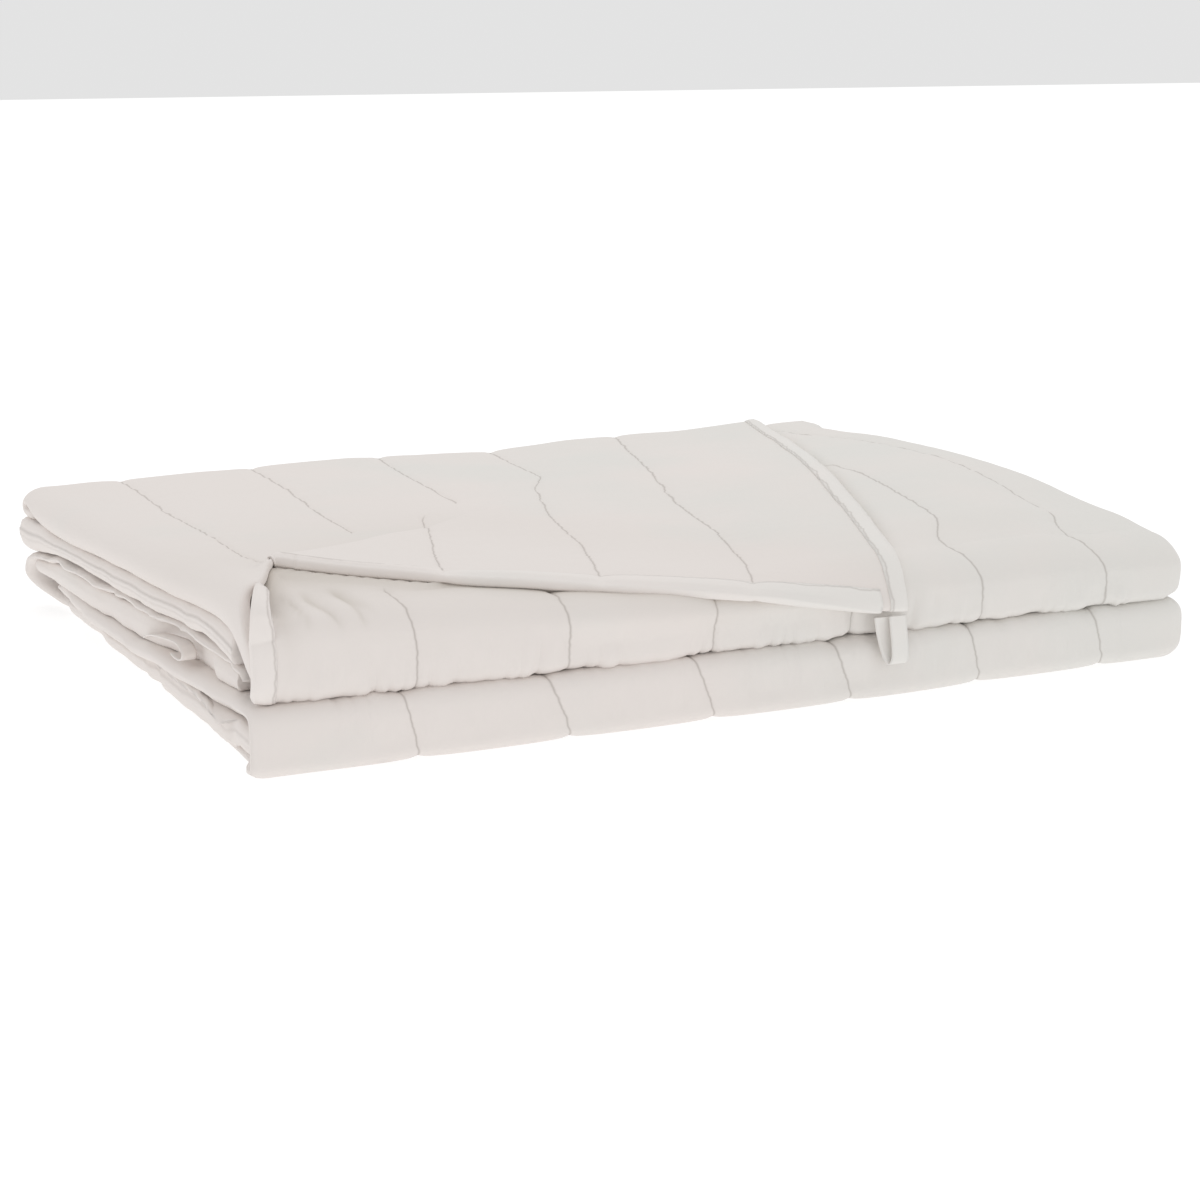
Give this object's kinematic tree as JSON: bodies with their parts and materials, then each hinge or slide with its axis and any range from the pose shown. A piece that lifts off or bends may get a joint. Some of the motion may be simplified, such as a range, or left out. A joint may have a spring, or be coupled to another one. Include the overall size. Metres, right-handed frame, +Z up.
{
  "type": "weighted blanket",
  "caption": "Quilted weighted blanket folded into a flat stack, with one corner turned over, bound edges and corner tape loops.",
  "frame": {"origin": "middle of the bounding box's base, on the surface the blanket lies on", "axes": "+X along the long folded front from the end with the turned-over corner's tip, +Y from the front to the back, +Z up"},
  "size_m": [0.677, 0.5436, 0.1131],
  "materials": {
    "quilt_cloth": "matt cotton, off-white",
    "binding_tape": "matt woven tape, off-white"
  },
  "bodies": {
    "root": {"quilt_folded": "quilt_cloth", "flap_front_binding": "binding_tape", "flap_side_binding": "binding_tape", "corner_binding": "binding_tape", "flap_corner_loop": "binding_tape", "inner_corner_loop": "binding_tape"}
  },
  "joints": []
}
